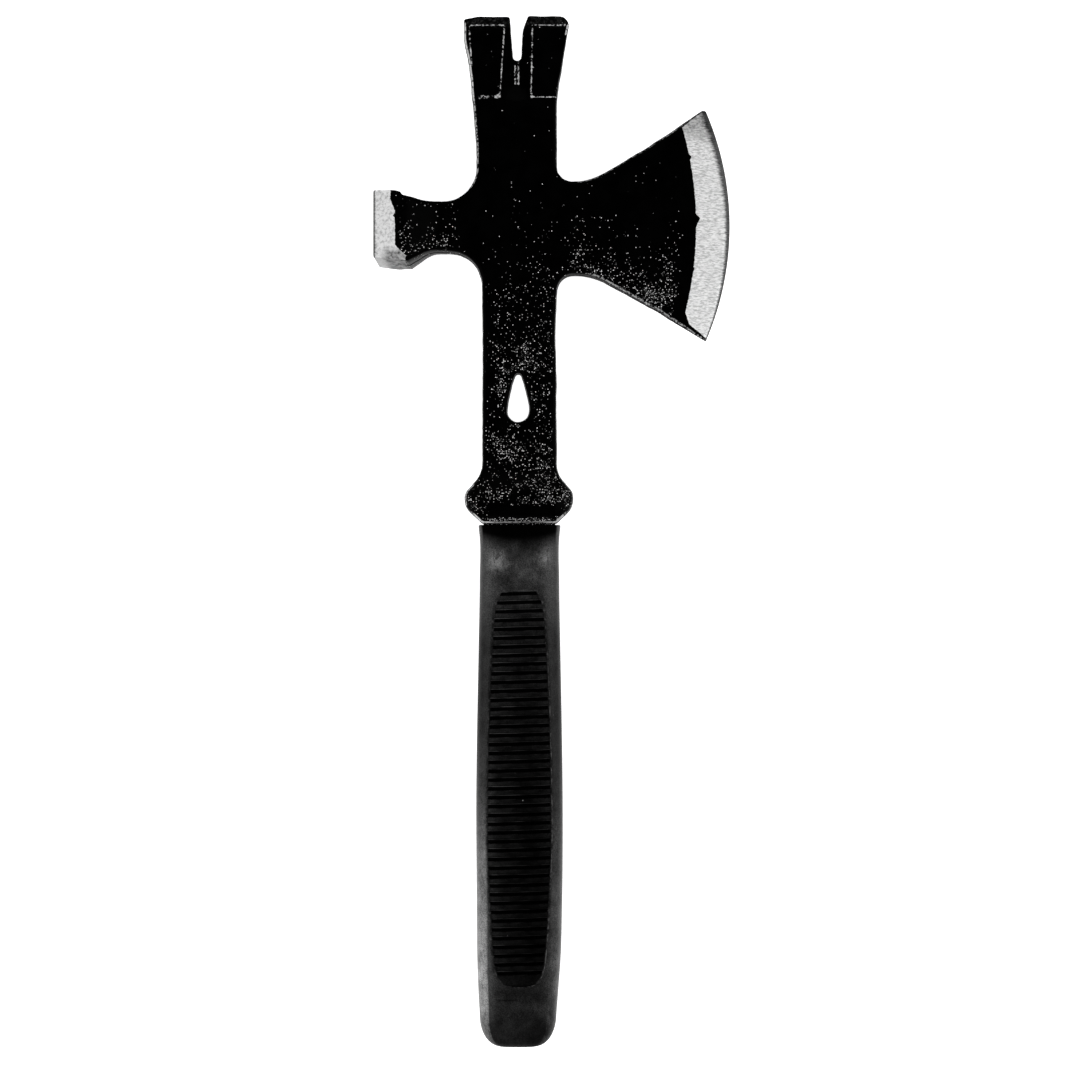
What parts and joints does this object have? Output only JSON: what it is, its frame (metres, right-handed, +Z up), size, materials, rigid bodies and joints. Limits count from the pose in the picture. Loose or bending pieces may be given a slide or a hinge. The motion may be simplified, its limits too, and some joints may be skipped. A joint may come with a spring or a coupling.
{
  "type": "multi-purpose hatchet",
  "caption": "Forged one-piece hatchet with a hammer poll, a nail claw, a nail hole in the shank and a ribbed slip-on rubber grip.",
  "frame": {"origin": "centre of the underside of the tool's box, where it lies on its flank on a table", "axes": "+Z up out of the upper flank, +Y along the handle from the butt to the claw, +X towards the cutting edge"},
  "size_m": [0.1222, 0.3556, 0.024],
  "materials": {
    "black_paint": "black paint over a rough forged skin, worn off to bare ground steel on the bevel and the striking face",
    "rubber": "matt black moulded rubber",
    "adhesive": "cured rubber cement"
  },
  "bodies": {
    "root": {"forged_body": "black_paint", "rubber_grip": "rubber", "grip_adhesive": "adhesive"}
  },
  "joints": []
}
